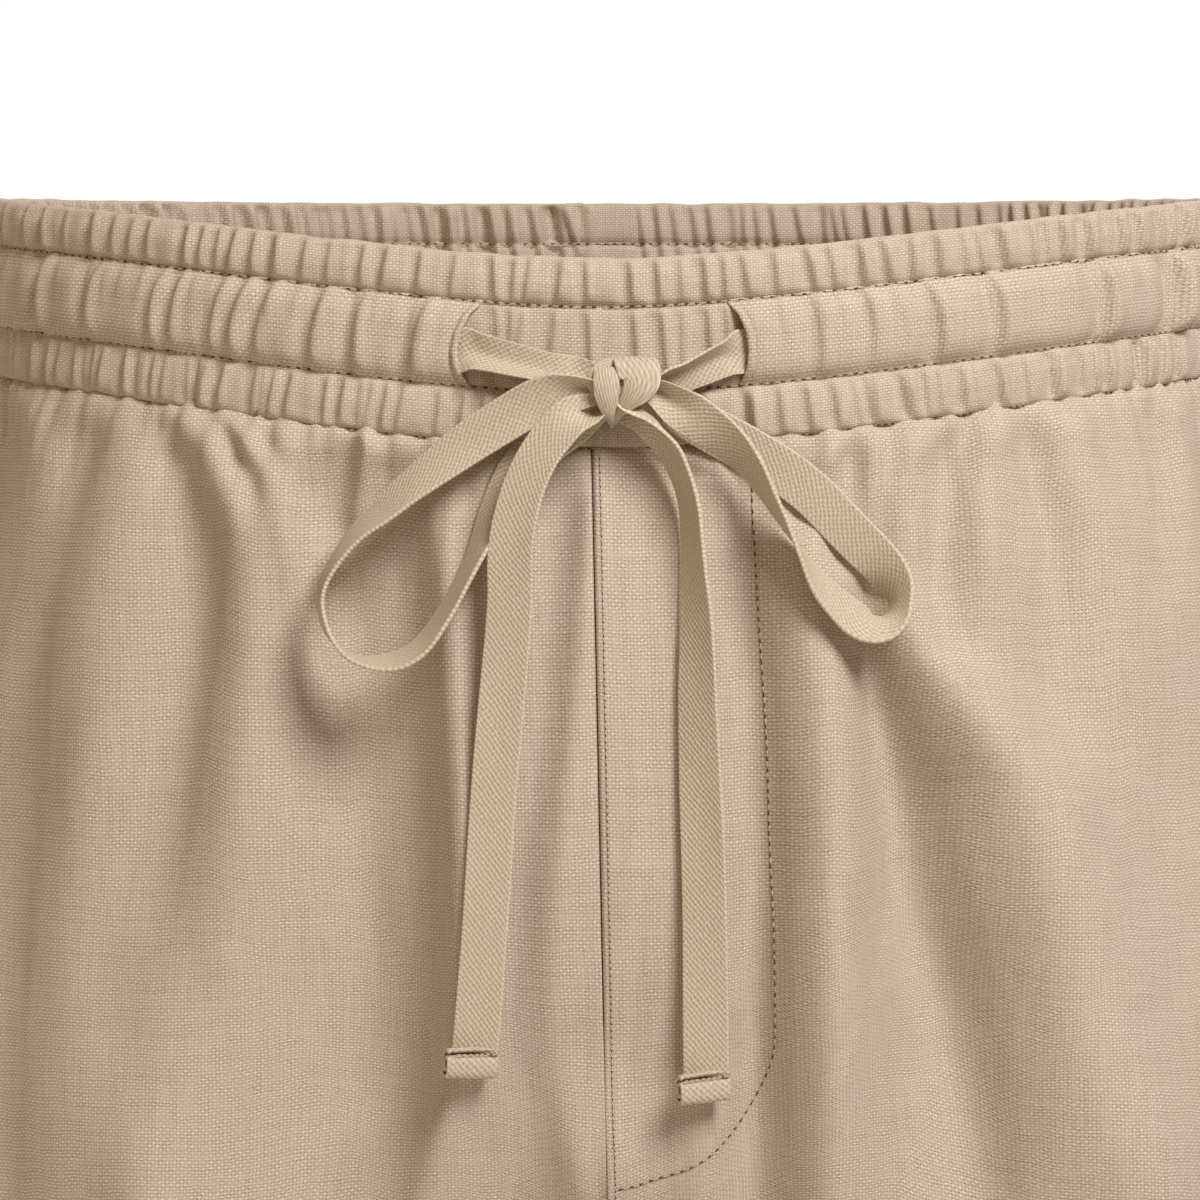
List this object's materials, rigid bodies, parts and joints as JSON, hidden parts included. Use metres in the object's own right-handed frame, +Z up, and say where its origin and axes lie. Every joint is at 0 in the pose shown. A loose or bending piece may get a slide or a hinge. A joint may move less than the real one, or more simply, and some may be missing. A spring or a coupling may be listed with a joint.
{
  "type": "elastic waist shorts",
  "caption": "Cotton shorts with a gathered elastic waistband, a stitched drawcord channel and a flat drawstring tied in a bow at the front.",
  "frame": {"origin": "centre of the waist opening at the mean height of its rim, where the wearer holds the garment", "axes": "+Z up, the wearer faces -Y, and the wearer's left is +X"},
  "size_m": [0.4162, 0.2603, 0.484],
  "materials": {
    "cotton_cloth": "matt plain-weave cotton, sand coloured",
    "cotton_band": "matt plain-weave cotton, gathered over elastic",
    "twill_tape": "matt herringbone cotton tape"
  },
  "bodies": {
    "root": {"waistband": "cotton_band", "drawcord_channel": "cotton_cloth", "front_left": "cotton_cloth", "front_right": "cotton_cloth", "back_left": "cotton_cloth", "back_right": "cotton_cloth", "hem_left": "cotton_cloth", "hem_right": "cotton_cloth", "string_run_left": "twill_tape", "string_run_right": "twill_tape", "string_loop_left": "twill_tape", "string_loop_right": "twill_tape", "string_tail_left": "twill_tape", "string_tail_right": "twill_tape", "string_end_left": "twill_tape", "string_end_right": "twill_tape", "string_knot": "twill_tape"}
  },
  "joints": []
}
